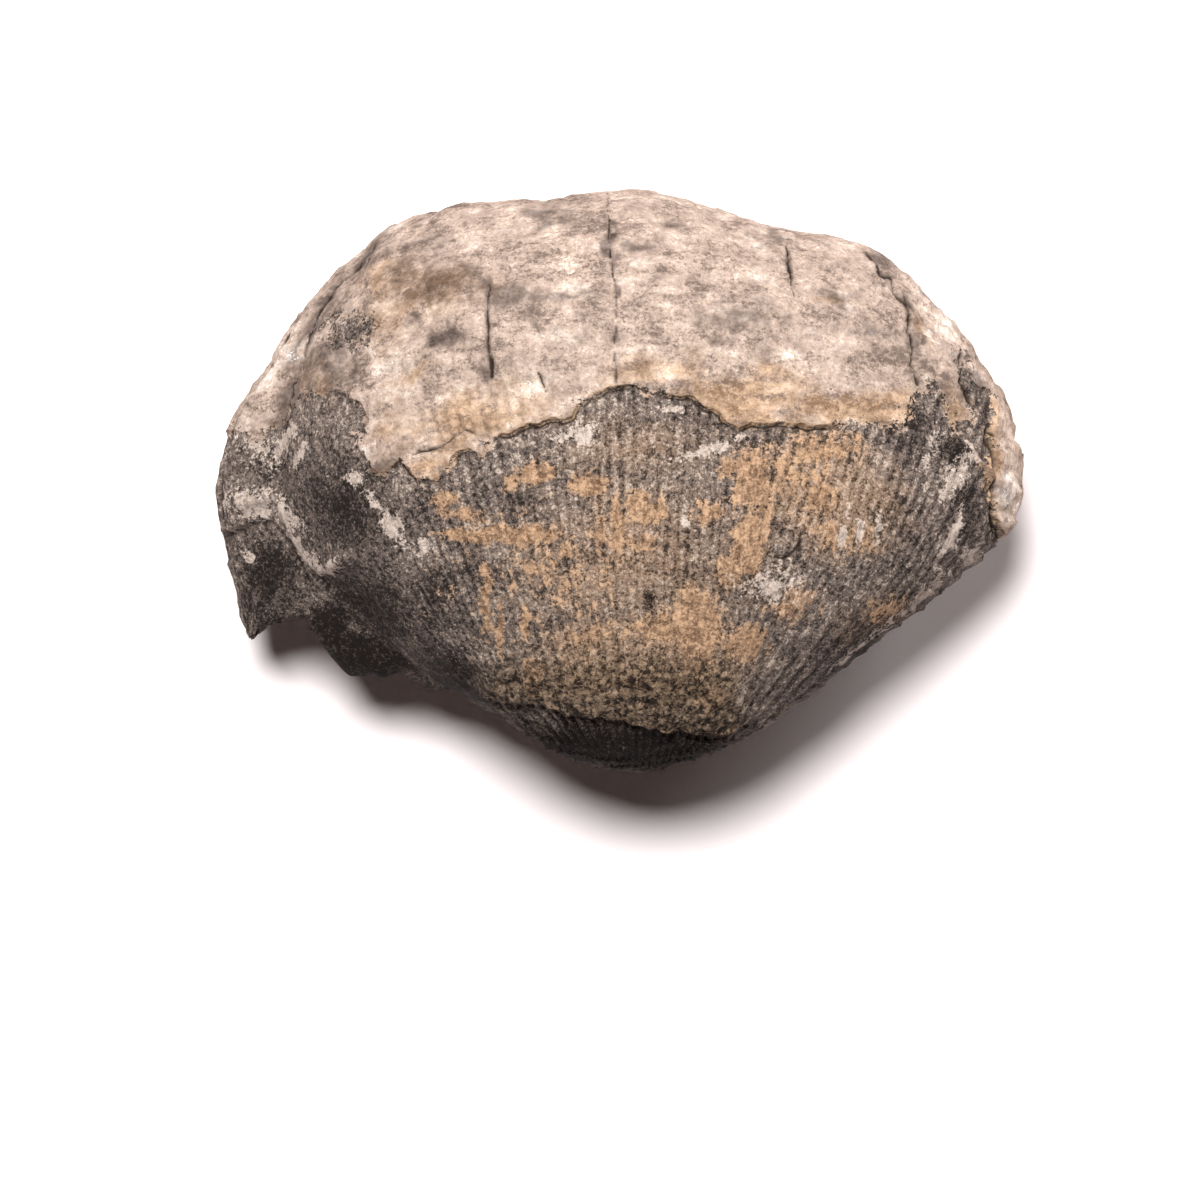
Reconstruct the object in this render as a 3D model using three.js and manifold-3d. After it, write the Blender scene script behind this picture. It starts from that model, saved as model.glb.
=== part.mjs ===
// A brachiopod fossil: both valves of one shell, cemented by the rock between them into a
// single stone. It lies on its lower valve, with the strongly arched upper valve on top and
// the beak towards -Y. Millimetres, +Z up, with the origin on the resting plane under the
// middle of the stone's own box. The stone is one piece, so it is one mesh.

import * as THREE from "three";
import { mergeVertices } from "three/addons/utils/BufferGeometryUtils.js";
import Module from "manifold-3d";

const wasm = await Module();
wasm.setup();

// Driving dimensions.
const LENGTH = 30.4; // along X, flank to flank
const HEIGHT = 14.7; // from the resting face to the crest
const VALVE_DETAIL = 15; // how finely a valve's sphere is divided
const OUTLINE_STEPS = 720; // points taken along an outline's spline

// The upper valve's widest line, seen from above, anticlockwise from its right flank.
const UPPER_OUTLINE = [
  [15.2, 0.1], [14.9, 2.0], [13.9, 4.4], [12.2, 6.6], [10.4, 8.4], [9.0, 9.05],
  [6.8, 9.3], [4.6, 9.9], [2.7, 10.5], [0.9, 10.85], [-1.2, 10.6], [-5.4, 10.4],
  [-7.2, 10.0], [-8.7, 9.1], [-10.2, 7.7], [-11.3, 6.0], [-12.1, 4.2], [-12.6, 2.2],
  [-12.7, 0.2], [-12.2, -1.7], [-11.1, -3.4], [-9.6, -5.0], [-7.7, -6.5], [-5.1, -8.3],
  [-2.9, -9.85], [-1.2, -10.6], [0.5, -10.9], [2.4, -10.65], [4.2, -10.0], [6.1, -8.9],
  [10.0, -5.95], [13.1, -3.5], [14.5, -2.3], [15.1, -1.0],
];

// The lower valve's widest line, before its margin broke. On the left it stands out past the
// upper valve, where it makes a flange.
const LOWER_OUTLINE = [
  [14.9, 0.0], [14.1, 3.6], [12.3, 6.3], [10.0, 8.2], [7.0, 9.0], [2.7, 10.2],
  [-1.0, 10.4], [-5.4, 10.3], [-7.4, 10.1], [-9.0, 9.4], [-10.6, 8.15], [-12.0, 6.4],
  [-13.2, 4.6], [-14.3, 2.8], [-15.0, 1.2], [-15.2, -0.4], [-15.0, -2.4], [-14.5, -4.5],
  [-13.4, -6.6], [-11.2, -7.8], [-8.0, -8.2], [-4.0, -8.6], [0.5, -9.0], [4.5, -8.5],
  [9.5, -5.9], [13.0, -3.1], [14.4, -1.6],
];

// Where the lower valve's margin broke away on the left: the line of the break, from the
// flange's tip to the beak, and then round the outside of the piece that is gone.
const BREAK_OUTLINE = [
  [-18.0, -7.6], [-13.75, -5.85], [-13.3, -5.25], [-12.4, -5.05], [-11.55, -4.75],
  [-11.35, -5.6], [-10.7, -6.0], [-9.9, -6.5], [-8.2, -6.75], [-7.3, -7.25],
  [-6.2, -7.5], [-4.8, -8.3], [-4.4, -14.0], [-18.0, -14.0],
];
const BREAK_TOP = 6.8; // height at which the broken edge follows that line
const BREAK_LEAN = 0.3; // how far the edge runs inwards for each millimetre further down

// Each valve is a flattened ball round its widest line. `inner` is the plain oval that its
// form settles to away from that line. `girdle` is the line's height on the flanks, at the
// beak and at the front. A fullness of 1 gives an elliptical section, a smaller one squarer.
// `beakFullness` is that of the surface which faces the other valve, at the beak: there the
// upper valve hooks down over the hinge, and the lower one rises to meet it.
const UPPER = {
  outline: UPPER_OUTLINE,
  centre: new THREE.Vector2(0.8, -0.3),
  inner: { x: 13.6, y: 10.9 },
  top: HEIGHT,
  bottom: 2.6,
  girdle: { flank: 6.4, beak: 7.9, front: 6.0 },
  fullness: 0.94,
  beakFullness: 0.5,
  inwards: -1,
};
const LOWER = {
  outline: LOWER_OUTLINE,
  centre: new THREE.Vector2(0.2, 0.2),
  inner: { x: 14.2, y: 9.6 },
  top: 9.6,
  bottom: -0.32,
  girdle: { flank: 5.2, beak: 4.4, front: 4.7 },
  fullness: 0.88,
  beakFullness: 0.6,
  inwards: 1,
};
const BEAK_WIDTH = 0.26; // how far round the outline the beak reaches, in radians
const OUTLINE_REACH = 3; // how fast a valve's section takes up its outline towards the edge

// The rock that fills the hinge between the beaks: an oval, by its middle and half-sizes.
const HINGE_ROCK = { at: [0.8, -5.1, 5.4], radii: [8.8, 2.9, 3.0] };
const HINGE_DETAIL = 6; // how finely that oval is divided

// The median fold: the front edge of both valves rises in one broad wave.
const FOLD = { x: 1.0, width: 4.6, height: 0.8, fromY: 3.0, toY: 10.5 };

// Slow dents and swellings that burial left in the upper valve.
const DENTS = [
  { x: -9.5, y: 3.5, radius: 3.4, height: -0.4 },
  { x: 10.5, y: 5.0, radius: 3.4, height: -0.4 },
  { x: 4.5, y: -3.5, radius: 4.5, height: 0.25 },
  { x: -4.0, y: 7.0, radius: 3.2, height: 0.25 },
  { x: 12.5, y: -1.0, radius: 2.6, height: -0.25 },
];

// The distance from `centre` to a closed spline through `points`, as a function of angle.
function radiusAround(points, centre) {
  const spline = new THREE.CatmullRomCurve3(
    points.map(([x, y]) => new THREE.Vector3(x, y, 0)),
    true,
    "centripetal",
  );
  const polar = spline
    .getSpacedPoints(OUTLINE_STEPS)
    .slice(0, -1)
    .map((p) => {
      const across = new THREE.Vector2(p.x, p.y).sub(centre);
      return { angle: Math.atan2(across.y, across.x), radius: across.length() };
    })
    .sort((a, b) => a.angle - b.angle);
  const turn = 2 * Math.PI;
  return (angle) => {
    const found = polar.findIndex((p) => p.angle >= angle);
    const next = found < 0 ? 0 : found;
    const after = polar[next];
    const before = polar[(next + polar.length - 1) % polar.length];
    const span = (after.angle - before.angle + turn) % turn;
    const part = ((angle - before.angle + turn) % turn) / span;
    return THREE.MathUtils.lerp(before.radius, after.radius, part);
  };
}

// The distance from the middle of an oval to its edge, at an angle.
function ovalRadius(oval, angle) {
  return 1 / Math.hypot(Math.cos(angle) / oval.x, Math.sin(angle) / oval.y);
}

// How high a valve's widest line runs, at an angle measured from +X.
function girdleHeight(girdle, angle) {
  const along = Math.sin(angle);
  const end = along < 0 ? girdle.beak : girdle.front;
  return THREE.MathUtils.lerp(girdle.flank, end, Math.abs(along) ** 3);
}

// A valve's fullness at a point of its unit ball.
function fullnessAt(valve, point) {
  const fromBeak = (Math.atan2(point.y, point.x) + Math.PI / 2) / BEAK_WIDTH;
  const facing = THREE.MathUtils.smoothstep(valve.inwards * point.z, 0, 0.3);
  const part = Math.exp(-fromBeak * fromBeak) * facing;
  return THREE.MathUtils.lerp(valve.fullness, valve.beakFullness, part);
}

// How much the median fold lifts a point at (x, y).
function foldLift(x, y) {
  const across = Math.exp(-(((x - FOLD.x) / FOLD.width) ** 2));
  return FOLD.height * across * THREE.MathUtils.smoothstep(y, FOLD.fromY, FOLD.toY);
}

// How much the dents raise the upper valve at (x, y).
function dentLift(x, y) {
  return DENTS.reduce((sum, dent) => {
    const away = Math.hypot(x - dent.x, y - dent.y) / dent.radius;
    return sum + dent.height * Math.exp(-away * away);
  }, 0);
}

// One valve, with the rock inside it, as a closed surface.
function valveGeometry(valve) {
  const geometry = new THREE.IcosahedronGeometry(1, VALVE_DETAIL);
  const position = geometry.getAttribute("position");
  const outer = radiusAround(valve.outline, valve.centre);
  const point = new THREE.Vector3();
  for (let i = 0; i < position.count; i++) {
    point.fromBufferAttribute(position, i).normalize();
    const angle = Math.atan2(point.y, point.x);
    const out = Math.hypot(point.x, point.y);
    const inner = ovalRadius(valve.inner, angle);
    const radius = THREE.MathUtils.lerp(inner, outer(angle), out ** OUTLINE_REACH);
    const fullness = fullnessAt(valve, point);
    const reach = radius * out ** fullness;
    const x = valve.centre.x + reach * Math.cos(angle);
    const y = valve.centre.y + reach * Math.sin(angle);
    const level = girdleHeight(valve.girdle, angle);
    const height = point.z > 0 ? valve.top - level : level - valve.bottom;
    const rise = Math.sign(point.z) * Math.abs(point.z) ** fullness * height;
    const dents = dentLift(x, y) * Math.max(point.z, 0);
    position.setXYZ(i, x, y, level + rise + foldLift(x, y) + dents);
  }
  return geometry;
}

// The rock at the hinge.
function hingeRockGeometry() {
  return new THREE.IcosahedronGeometry(1, HINGE_DETAIL)
    .scale(...HINGE_ROCK.radii)
    .translate(...HINGE_ROCK.at);
}

// The margin that broke away. Its wall leans, so that the broken edge of the stone does.
function breakGeometry() {
  const outline = new THREE.Shape(BREAK_OUTLINE.map(([x, y]) => new THREE.Vector2(x, y)));
  const geometry = new THREE.ExtrudeGeometry(outline, {
    depth: HEIGHT,
    bevelEnabled: false,
  }).translate(0, 0, -1);
  const position = geometry.getAttribute("position");
  for (let i = 0; i < position.count; i++) {
    const inwards = BREAK_LEAN * Math.SQRT1_2 * (BREAK_TOP - position.getZ(i));
    position.setX(i, position.getX(i) + inwards);
    position.setY(i, position.getY(i) + inwards);
  }
  return geometry;
}

// A block that fills everything below the resting plane.
function groundGeometry() {
  return new THREE.BoxGeometry(2 * LENGTH, 2 * LENGTH, HEIGHT).translate(0, 0, -HEIGHT / 2);
}

// A three.js geometry as a manifold-3d solid.
function solidFrom(geometry) {
  const bare = geometry.clone();
  bare.deleteAttribute("normal");
  bare.deleteAttribute("uv");
  const merged = mergeVertices(bare, 1e-4);
  return new wasm.Manifold(
    new wasm.Mesh({
      numProp: 3,
      vertProperties: new Float32Array(merged.getAttribute("position").array),
      triVerts: new Uint32Array(merged.index.array),
    }),
  );
}

// A manifold-3d solid as a three.js geometry.
function geometryFrom(solid) {
  const mesh = solid.getMesh();
  const geometry = new THREE.BufferGeometry();
  const vertices = new Float32Array(mesh.vertProperties);
  geometry.setAttribute("position", new THREE.BufferAttribute(vertices, 3));
  geometry.setIndex(new THREE.BufferAttribute(new Uint32Array(mesh.triVerts), 1));
  geometry.computeVertexNormals();
  return geometry;
}

// The whole stone: both valves and the rock at the hinge, less the margin that broke away
// and whatever lies below the resting plane.
function fossilSolid() {
  const lower = solidFrom(valveGeometry(LOWER))
    .add(solidFrom(hingeRockGeometry()))
    .subtract(solidFrom(breakGeometry()));
  return solidFrom(valveGeometry(UPPER)).add(lower).subtract(solidFrom(groundGeometry()));
}

// The stone's geometry, moved so that its box stands centred over the origin.
function fossilGeometry() {
  const geometry = geometryFrom(fossilSolid());
  geometry.computeBoundingBox();
  const middle = geometry.boundingBox.getCenter(new THREE.Vector3());
  return geometry.translate(-middle.x, -middle.y, -geometry.boundingBox.min.z);
}

const limestone = new THREE.MeshStandardMaterial({
  color: 0x8c7c6d,
  roughness: 0.92,
  metalness: 0,
});

const fossil = new THREE.Mesh(fossilGeometry(), limestone);
fossil.name = "brachiopod_fossil";

const group = new THREE.Group();
group.add(fossil);

export default group;
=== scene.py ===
"""The looks of a brachiopod fossil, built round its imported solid.

The stone is one piece. Its fine surface is made here: ribs that fan out from the beak, what is
left of the pale outer shell layer with its broken ledge and cracks, the earth caught in the
ribs, the crust above the beak, and the groove where the two valves meet.

Lengths are in millimetres until a mesh is finished, and in metres after that. Marks on the
upper valve are placed by where an eye straight above it sees them: `across` runs to +X and
`along` runs to +Y, both measured on the plane of the stone's widest outline.
"""

from __future__ import annotations

import logging
import math
from dataclasses import dataclass, field
from enum import Enum

import bmesh
import bpy
import numpy as np
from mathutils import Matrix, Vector


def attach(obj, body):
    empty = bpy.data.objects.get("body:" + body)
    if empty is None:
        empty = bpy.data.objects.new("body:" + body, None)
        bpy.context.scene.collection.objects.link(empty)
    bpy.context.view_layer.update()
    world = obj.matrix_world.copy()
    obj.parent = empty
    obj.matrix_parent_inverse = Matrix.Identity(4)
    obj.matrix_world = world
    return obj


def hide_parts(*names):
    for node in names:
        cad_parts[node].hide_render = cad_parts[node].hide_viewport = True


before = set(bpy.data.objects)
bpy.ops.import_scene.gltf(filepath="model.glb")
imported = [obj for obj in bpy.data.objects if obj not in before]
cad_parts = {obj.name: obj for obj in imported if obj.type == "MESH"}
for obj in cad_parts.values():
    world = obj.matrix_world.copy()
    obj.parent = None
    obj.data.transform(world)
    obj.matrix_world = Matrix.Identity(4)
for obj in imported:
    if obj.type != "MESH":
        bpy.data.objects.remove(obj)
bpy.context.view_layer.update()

logging.basicConfig(level=logging.INFO, format="%(message)s")
log = logging.getLogger("fossil")

MM = 0.001
NODE = "brachiopod_fossil"
EYE = (-0.60, -4.43, 340.0)  # where the eye straight above the stone is
GIRDLE_HEIGHT = 8.5  # height of the plane that marks are placed on

Array = np.ndarray
Points = tuple[tuple[float, float], ...]
Place = tuple[float, float, float]
Colour = tuple[float, float, float]


class Field(Enum):
    """What the surface carries at each vertex for its finish to read."""

    LAYER = "layer_depth"  # how far inside the pale layer, in mm, and below 0 outside it
    CRACK = "crack_gap"  # how far from a crack's wall, in mm, and below 0 inside it
    EARTH = "earth"  # 1 in the middle of a patch of earth, 0 at its edge
    CHIP_AND_HIGHLIGHT = "chip"  # the same for pale chips on bare stone, and for paler places on the pale layer that are partly painted highlights
    DARKNESS_AND_SHADE = "darkness_and_shade"  # the same for dark patches on bare stone, partly dark stone and partly painted shade over the umbo and under the upper valve's margin
    STAIN = "stain"  # the same for grey stains on the pale layer
    TAN = "tan"  # the same for tan staining on the pale layer
    CRUST = "crust"  # 1 on the brown crust, 0 off it
    RIB = "rib_number"  # counts ribs across the shell
    GROWTH = "growth"  # distance from the beak, in mm
    CREST = "rib_crest"  # 1 on a rib's crest, 0 in the furrow beside it
    LEDGE = "ledge"  # 1 where the pale layer ends in a ledge, 0 where it just thins out
    WARM = "warmth"  # 1 where the bare stone is stained brown, 0 where it is grey


def smoothstep(low: float, high: float, value: Array) -> Array:
    """Rises smoothly from 0 at `low` to 1 at `high`."""
    part = np.clip((value - low) / (high - low), 0.0, 1.0)
    return part * part * (3.0 - 2.0 * part)


def bell(value: Array, width: float) -> Array:
    """1 where `value` is 0, falling away over `width`."""
    return np.exp(-((value / width) ** 2))


def placed(name: str, data: bpy.types.ID) -> bpy.types.Object:
    """A new object in the scene."""
    made = bpy.data.objects.new(name, data)
    bpy.context.scene.collection.objects.link(made)
    return made


@dataclass(frozen=True)
class Grain:
    """Smooth solid noise, the same each run.

    Args:
        seed: chooses the pattern.
        cells: how many cells it has before it repeats.
    """

    seed: int = 7
    cells: int = 256

    def tables(self) -> tuple[Array, Array]:
        """The shuffled cell numbers and the slopes that the noise is made of."""
        draw = np.random.default_rng(self.seed)
        order = draw.permutation(self.cells)
        slopes = draw.normal(size=(self.cells, 3))
        slopes /= np.linalg.norm(slopes, axis=1)[:, None]
        return np.concatenate([order, order, order]), slopes

    def at(self, points: Array, size: float) -> Array:
        """Noise from about -1 to 1.

        Args:
            points: places, one row each.
            size: how wide a feature of the noise is.

        Returns:
            One value for each place.
        """
        order, slopes = self.tables()
        scaled = points / size
        low = np.floor(scaled).astype(int)
        part = scaled - low
        ease = part**3 * (part * (part * 6.0 - 15.0) + 10.0)
        low %= self.cells
        total = np.zeros(len(points))
        for corner in np.ndindex(2, 2, 2):
            cell = (low + corner) % self.cells
            chosen = order[order[order[cell[:, 0]] + cell[:, 1]] + cell[:, 2]]
            slope = np.einsum("ij,ij->i", slopes[chosen], part - corner)
            share = np.prod(np.where(corner, ease, 1.0 - ease), axis=1)
            total += slope * share
        return total * 1.6

    def rough(self, points: Array, size: float, octaves: int = 3) -> Array:
        """Noise with finer noise added to it, each octave half the size and strength.

        Args:
            points: places, one row each.
            size: how wide the widest features are.
            octaves: how many sizes of noise are added.

        Returns:
            One value for each place, from about -1 to 1.
        """
        total = np.zeros(len(points))
        for octave in range(octaves):
            shifted = points + 17.3 * octave
            total += self.at(shifted, size / 2**octave) / 2**octave
        return total / (2.0 - 0.5 ** (octaves - 1))


@dataclass(frozen=True)
class Line:
    """An open line on the marking plane.

    Args:
        points: its corners, in order.
    """

    points: Points

    def nearest(self, places: Array) -> tuple[Array, Array]:
        """How far each place is from the line.

        Args:
            places: rows of across and along.

        Returns:
            The distances, and which side each place is on: 1 to the left of the line's
            direction, -1 to the right.
        """
        best = np.full(len(places), np.inf)
        side = np.ones(len(places))
        corners = np.array(self.points)
        for start, end in zip(corners[:-1], corners[1:]):
            run = end - start
            reach = np.clip((places - start) @ run / (run @ run), 0.0, 1.0)
            away = places - start - reach[:, None] * run
            distance = np.hypot(away[:, 0], away[:, 1])
            turn = run[0] * away[:, 1] - run[1] * away[:, 0]
            closer = distance < best - 1e-9
            best = np.where(closer, distance, best)
            side = np.where(closer, np.sign(turn) + (turn == 0), side)
        return best, side

    def signed(self, places: Array) -> Array:
        """The distance to the line, positive on its left."""
        distance, side = self.nearest(places)
        return distance * side


@dataclass(frozen=True)
class Patch:
    """An oval patch on the marking plane.

    Args:
        across: its middle, to +X.
        along: its middle, to +Y.
        half_width: half its size across.
        half_length: half its size along.
        strength: the value at its middle.
        turn: how far it is turned anticlockwise, in degrees.
    """

    across: float
    along: float
    half_width: float
    half_length: float
    strength: float = 1.0
    turn: float = 0.0

    def at(self, places: Array) -> Array:
        """The patch's strength, from its middle to 0 at its edge and below 0 outside."""
        angle = math.radians(self.turn)
        x = places[:, 0] - self.across
        y = places[:, 1] - self.along
        turned_x = x * math.cos(angle) + y * math.sin(angle)
        turned_y = y * math.cos(angle) - x * math.sin(angle)
        out = np.hypot(turned_x / self.half_width, turned_y / self.half_length)
        return self.strength * (1.0 - out)


def patches(*rows: tuple[float, ...]) -> tuple[Patch, ...]:
    """Several patches, each a row of across, along, half width, half length and the rest."""
    return tuple(Patch(*row) for row in rows)


def patched(places: Array, several: tuple[Patch, ...]) -> Array:
    """The strongest of several patches at each place."""
    return np.max([patch.at(places) for patch in several], axis=0)


@dataclass
class Surface:
    """The stone's surface while it is being shaped, in millimetres.

    Args:
        points: where the vertices are.
        normals: which way the surface faces at each.
        grain: the noise that roughens it.
    """

    points: Array
    normals: Array
    grain: Grain
    x: Array = field(init=False)
    y: Array = field(init=False)
    z: Array = field(init=False)
    facing: Array = field(init=False)  # 1 where it faces up, -1 where it faces down
    places: Array = field(init=False)  # where the eye sees each vertex on the marking plane
    across: Array = field(init=False)
    along: Array = field(init=False)
    above: Array = field(init=False)  # 1 on the upper valve, 0 on the lower one

    def __post_init__(self) -> None:
        """Works out where each vertex is seen, and how much it belongs to the top."""
        self.x, self.y, self.z = self.points.T
        self.facing = self.normals[:, 2]
        spread = (EYE[2] - GIRDLE_HEIGHT) / (EYE[2] - self.z)
        eye = np.array(EYE[:2])
        self.places = eye + (self.points[:, :2] - eye) * spread[:, None]
        self.across, self.along = self.places.T
        self.above = smoothstep(4.0, 5.4, self.z + 2.5 * self.facing)

    def rough(
        self, size: float, shift: float = 0.0, scale: Place = (1.0, 1.0, 1.0), octaves: int = 3
    ) -> Array:
        """The grain over the surface, read `shift` away and squeezed by `scale`."""
        return self.grain.rough(self.points * scale + shift, size, octaves)

    def wavy(self, size: float, amount: float) -> Array:
        """The places, pushed about so that outlines placed on them turn ragged.

        Args:
            size: how wide the features of the noise are that pushes them.
            amount: how far it pushes.

        Returns:
            Rows of across and along.
        """
        pushes = [self.rough(size, shift) for shift in (41.0, 83.0)]
        return self.places + amount * np.stack(pushes, axis=1)


@dataclass
class Ribs:
    """The fine ribs that fan out from the beak, on both valves.

    Args:
        beak: where they start.
        spacing: from one rib to the next, half way along the shell.
        height: from a furrow to a crest.
    """

    beak: Place = (0.9, -9.6, 6.0)
    spacing: float = 0.43
    height: float = 0.075
    spread_rate: float = 0.03  # how fast they spread, for each millimetre from the umbo
    spread_near_beak: float = 0.525  # how much more they spread close to the beak
    spread_reach: float = 3.0  # how far from the umbo that is felt
    umbo: float = -8.6
    rearmost: float = -10.6  # nothing spreads behind this
    worn_left: float = -6.5  # little of them is left beyond this
    worn_share: float = 0.3  # what is left there
    worn_reach: float = 3.0
    split_start: float = 0.5  # how far they have spread when new ribs come up between them
    split_end: float = 0.85
    split_scatter: float = 0.12
    scatter_step: float = 12.9898
    wander: float = 0.35

    def spread(self, along: Array) -> Array:
        """How far the ribs have fanned out, 1 half way along the shell."""
        return np.exp(self.fanning(along) - self.fanning(np.zeros(1)))

    def fanning(self, along: Array) -> Array:
        """The logarithm of how far the ribs have fanned out since the beak."""
        past = along - self.umbo
        return self.spread_rate * past - self.spread_near_beak * np.exp(-past / self.spread_reach)

    def number(self, surface: Surface) -> Array:
        """Counts the ribs across the shell, with a fraction between two crests."""
        across = surface.x - self.beak[0]
        spread = self.spread(np.maximum(surface.y, self.rearmost))
        bent = self.wander * surface.rough(2.2, scale=(1.0, 0.35, 0.35), octaves=1)
        return across / (self.spacing * spread) + bent

    def growth(self, surface: Surface) -> Array:
        """The distance from the beak, taking in the slope up from it."""
        return np.linalg.norm(surface.points - self.beak, axis=1)

    def shown(self, surface: Surface) -> Array:
        """How much of the ribs is left, from 0 to 1: little on the left flank."""
        kept = smoothstep(-self.worn_reach, 0.0, surface.x - self.worn_left)
        return self.worn_share + (1.0 - self.worn_share) * kept

    def crest(self, surface: Surface, number: Array) -> Array:
        """How high each place is on its rib, with every other rib dying out at the beak.

        Args:
            surface: the stone's surface.
            number: the count of ribs at each vertex.

        Returns:
            Heights, from 0 in a furrow to 1 on a crest.
        """
        whole = np.cos(math.pi * number) ** 2
        paired = np.cos(math.pi * number / 2.0) ** 2
        late = self.split_scatter * np.sin(self.scatter_step * np.round(number / 2.0 - 0.5))
        spread = self.spread(surface.y)
        split = smoothstep(self.split_start, self.split_end, spread + late)
        return split * whole + (1.0 - split) * paired


@dataclass
class ShellLayer:
    """What is left of the pale outer layer of the upper valve.

    Args:
        thickness: how far it stands above the stone under it.
    """

    thickness: float = 0.2
    undercut: float = 0.08
    ledge_left: float = -9.2
    ledge_right: float = 7.6
    edge: Line = Line((
        (-19.0, 1.9), (-14.5, 1.9), (-13.1, 1.7), (-12.4, 2.7), (-11.6, 3.3), (-10.6, 3.4),
        (-9.7, 3.0), (-9.3, 2.3), (-9.8, 1.75), (-9.3, 0.4), (-8.7, 0.35), (-8.05, 0.8),
        (-7.5, -0.02), (-7.15, 0.12), (-6.75, 0.02), (-6.35, 0.35), (-6.0, 1.05), (-5.55, 1.25),
        (-5.05, 1.02), (-4.7, 1.6), (-3.5, 2.0), (-2.6, 2.28), (-1.55, 2.4), (-1.35, 2.9),
        (-0.9, 3.2), (0.2, 3.6), (1.45, 3.33), (2.85, 3.07), (3.35, 2.68), (3.85, 2.52),
        (4.6, 2.0), (5.2, 2.15), (7.15, 2.08), (8.5, 2.15), (9.9, 2.25), (10.9, 2.1),
        (11.1, 2.9), (11.35, 3.5), (12.1, 3.6), (12.45, 2.7), (12.9, 1.95), (13.5, 2.4),
        (14.1, 3.1), (19.0, 3.6),
    ))
    bare: tuple[Patch, ...] = patches(
        (-10.0, 5.75, 1.2, 0.8, 1.0, 15.0), (13.2, 3.9, 0.35, 1.0, 1.0, 25.0),
        (13.95, 2.9, 0.35, 0.9, 1.0, 35.0),
    )
    plate: tuple[Patch, ...] = patches(
        (14.85, 0.6, 0.85, 3.4, 1.0, 3.0), (14.75, -0.9, 0.7, 1.4, 1.0, 8.0),
    )
    lower_reach: float = 4.5
    lower_wander: float = 3.2
    skirt: Patch = Patch(-0.1, 5.4, 3.0, 2.0)  # below the plate at the right, along and up
    skirt_start: float = 11.5

    def depth(self, surface: Surface) -> Array:
        """How far inside the layer each vertex is, in millimetres.

        Args:
            surface: the stone's surface.

        Returns:
            Distances, below 0 where the layer is gone.
        """
        upper = self.edge.signed(surface.wavy(0.7, 0.22))
        ragged = surface.wavy(1.1, 0.55)
        upper = np.minimum(upper, -0.8 * patched(ragged, self.bare) + 0.12)
        upper = np.maximum(upper, 0.8 * patched(surface.wavy(0.9, 0.2), self.plate))
        front = surface.y - self.lower_reach
        lower = front + self.lower_wander * surface.rough(4.0)
        skirt = self.skirt.at(surface.points[:, 1:]) + 0.7 * surface.rough(1.6)
        lower = np.maximum(lower, np.minimum(skirt, surface.x - self.skirt_start))
        return surface.above * upper + (1.0 - surface.above) * lower

    def ledge(self, surface: Surface) -> Array:
        """How much of a ledge the layer ends in, from 0 to 1."""
        across = surface.across
        inside = smoothstep(self.ledge_left - 0.6, self.ledge_left + 0.6, across)
        inside *= smoothstep(self.ledge_right + 1.5, self.ledge_right, across)
        inside = np.maximum(inside, smoothstep(13.6, 13.9, across))
        broken = 0.85 + 0.8 * surface.rough(1.3, 9.0, octaves=1)
        return surface.above * np.clip(inside * broken, 0.12, 1.0)

    def height(self, depth: Array, ledge: Array) -> Array:
        """How far the surface stands proud, with a crevice under the layer's edge."""
        crevice = bell(depth + 0.06, 0.06)
        proud = self.thickness * smoothstep(-0.06, 0.07, depth)
        return ledge * (proud - self.undercut * crevice)


@dataclass(frozen=True)
class Crack:
    """One crack.

    Args:
        line: where it runs.
        half_width: half its width, where it is not pinched.
        depth: how deep it is.
        halo: how far dark staining reaches on both sides.
        unevenness: how strongly it is pinched in places.
    """

    line: Line
    half_width: float = 0.035
    depth: float = 0.16
    halo: float = 0.12
    unevenness: float = 1.5


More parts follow.
